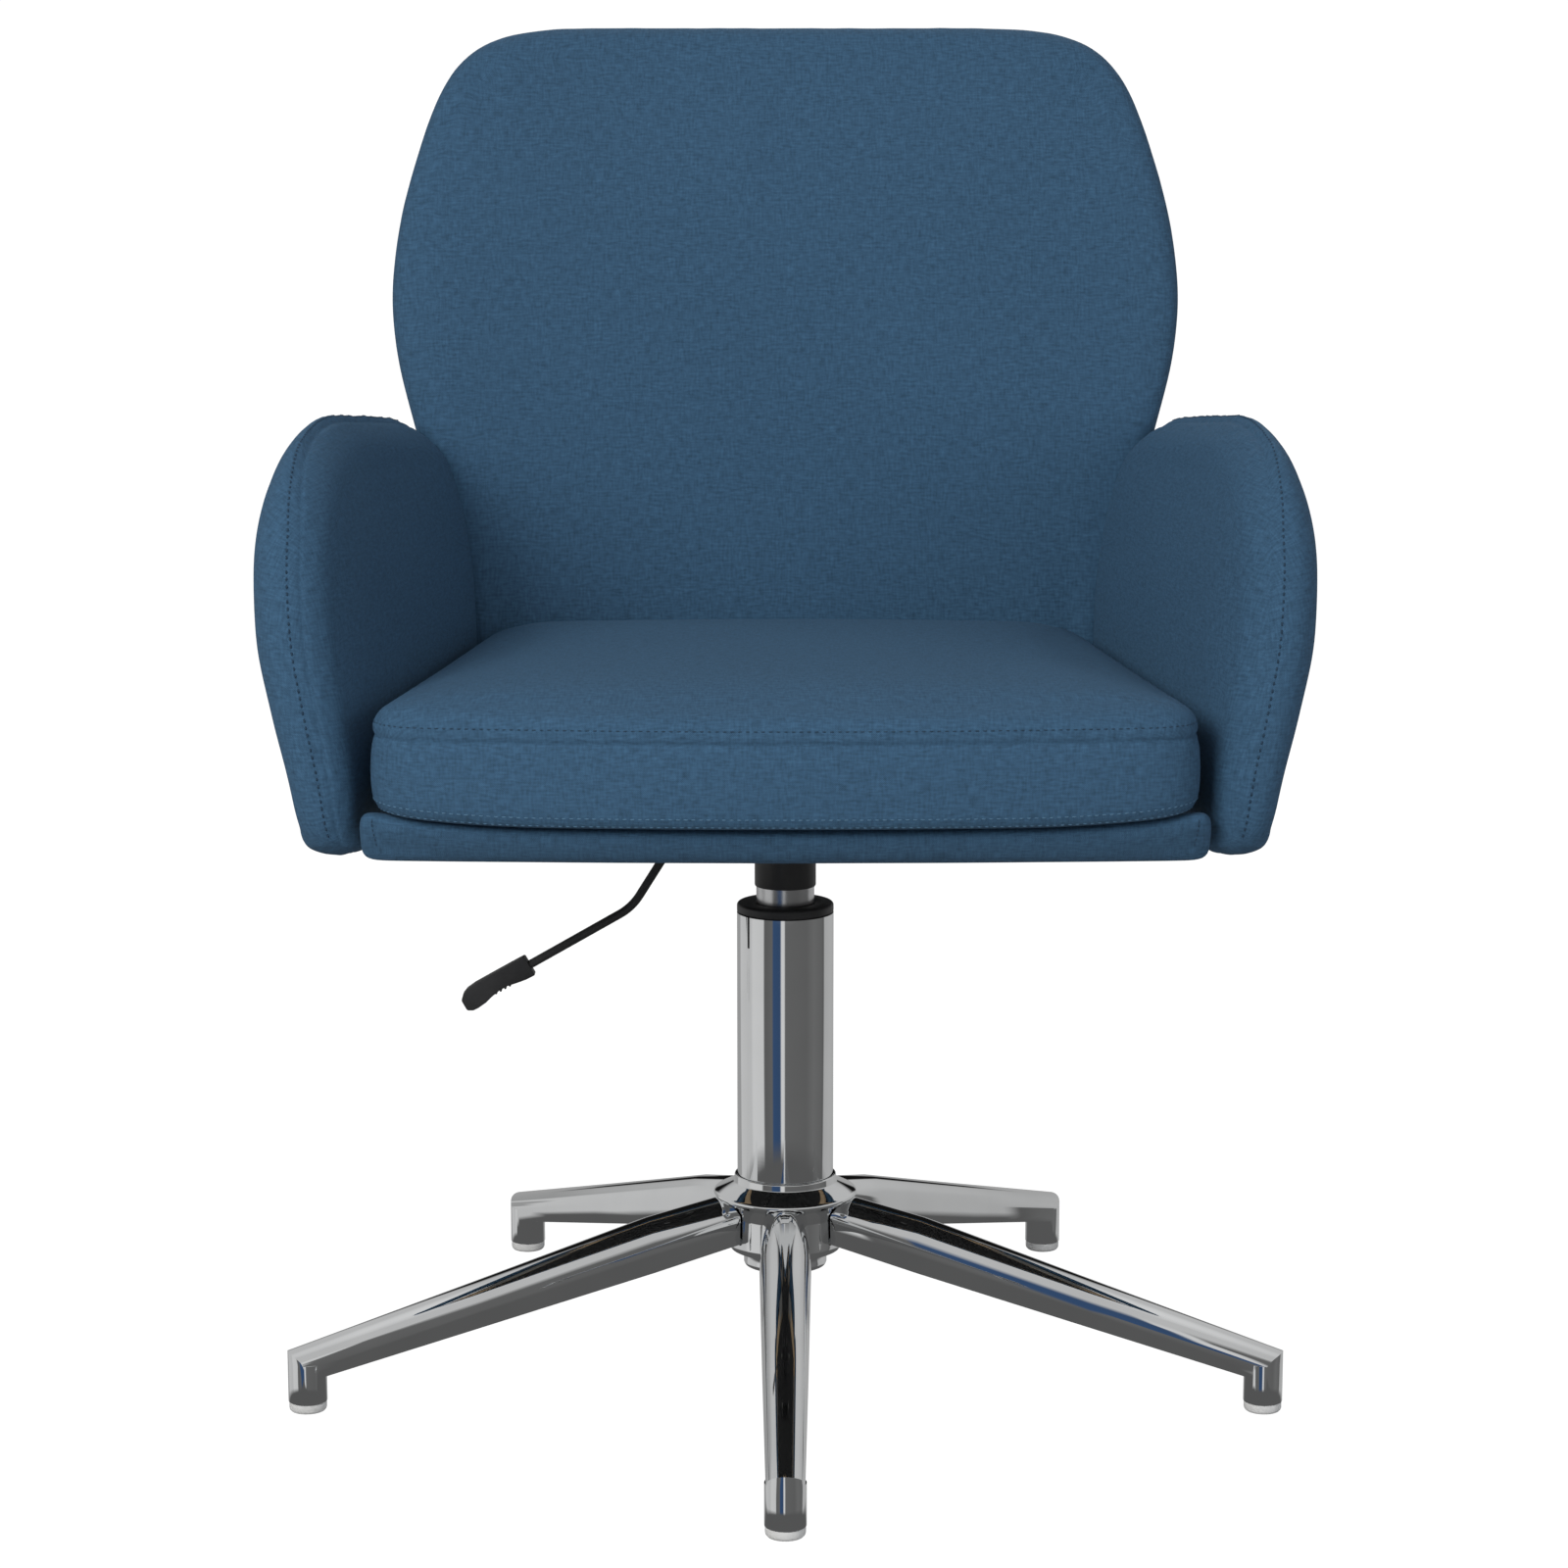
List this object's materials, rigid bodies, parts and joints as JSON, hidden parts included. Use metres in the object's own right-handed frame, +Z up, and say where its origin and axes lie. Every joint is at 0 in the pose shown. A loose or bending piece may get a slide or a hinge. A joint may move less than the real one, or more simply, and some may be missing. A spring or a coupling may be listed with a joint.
{
  "type": "swivel office chair",
  "caption": "Upholstered swivel office chair with wing arms, gas lift with side lever, chromed column and a star base on fixed glides.",
  "frame": {"origin": "on the floor, on the axis of the gas lift, which is the middle of the chair's footprint", "axes": "+Z up along the column; the chair faces -Y, so the sitter looks along -Y; +X is to the left of someone who sits in it"},
  "size_m": [0.6038, 0.6279, 0.8365],
  "materials": {
    "fabric": "woven, matt",
    "chrome": "polished",
    "satin_steel": "satin",
    "zinc": "zinc plated",
    "black_paint": "satin powder coat",
    "black_plastic": "fine texture",
    "pale_plastic": "translucent",
    "rubber": "matt",
    "plywood": "raw",
    "dust_cloth": "non-woven"
  },
  "bodies": {
    "base": {"bearing_ball_cage": "satin_steel", "bearing_race_lower": "satin_steel", "column_bottom_plate": "zinc", "column_tube": "chrome", "glide_front": "pale_plastic", "glide_front_left": "pale_plastic", "glide_front_right": "pale_plastic", "glide_rear_left": "pale_plastic", "glide_rear_right": "pale_plastic", "guide_bush": "black_plastic", "hub": "chrome", "leg_bolt_front_1": "zinc", "leg_bolt_front_2": "zinc", "leg_bolt_front_left_1": "zinc", "leg_bolt_front_left_2": "zinc", "leg_bolt_front_right_1": "zinc", "leg_bolt_front_right_2": "zinc", "leg_bolt_rear_left_1": "zinc", "leg_bolt_rear_left_2": "zinc", "leg_bolt_rear_right_1": "zinc", "leg_bolt_rear_right_2": "zinc", "leg_front": "chrome", "leg_front_left": "chrome", "leg_front_right": "chrome", "leg_rear_left": "chrome", "leg_rear_right": "chrome"},
    "swivel": {"piston_rod": "satin_steel", "bearing_race_upper": "satin_steel", "rubber_bumper": "rubber", "retaining_clip": "zinc"},
    "seat": {"arm_bolt_1": "zinc", "arm_bolt_2": "zinc", "arm_bolt_3": "zinc", "arm_bolt_4": "zinc", "arm_bracket_left": "zinc", "arm_bracket_right": "zinc", "arm_left": "fabric", "arm_right": "fabric", "back_bolt_1": "zinc", "back_bolt_2": "zinc", "back_bracket": "zinc", "back_pad": "fabric", "back_shell": "fabric", "dust_cover": "dust_cloth", "front_rail": "fabric", "gas_cylinder": "satin_steel", "lever_bush": "black_plastic", "plate_bolt_1": "zinc", "plate_bolt_2": "zinc", "plate_bolt_3": "zinc", "plate_bolt_4": "zinc", "seat_board": "plywood", "seat_cushion": "fabric", "seat_plate": "black_paint", "socket_sleeve": "black_paint"},
    "lever": {"lever_rod": "black_paint", "lever_handle": "black_plastic"},
    "valve": {"valve_pin": "satin_steel"}
  },
  "joints": [
    {"name": "swivel", "type": "hinge", "parent": "base", "child": "swivel", "pos_m": [0, 0, 0.09], "axis": [0, 0, 1], "continuous": true},
    {"name": "height", "type": "slide", "parent": "swivel", "child": "seat", "axis": [0, 0, 1], "range_m": [0, 0.09]},
    {"name": "lever", "type": "hinge", "parent": "seat", "child": "lever", "pos_m": [-0.0345, 0, 0.3547], "axis": [0, 1, 0], "range_deg": [0, 6.8], "stiffness_Nm_per_rad": 1.5, "springref_deg": -4.58},
    {"name": "valve", "type": "slide", "parent": "seat", "child": "valve", "axis": [0, 0, 1], "range_m": [-0.0045, 0]}
  ],
  "couplings": [
    {"joint": "valve", "follows": "lever", "m_per_rad": -0.0345}
  ]
}
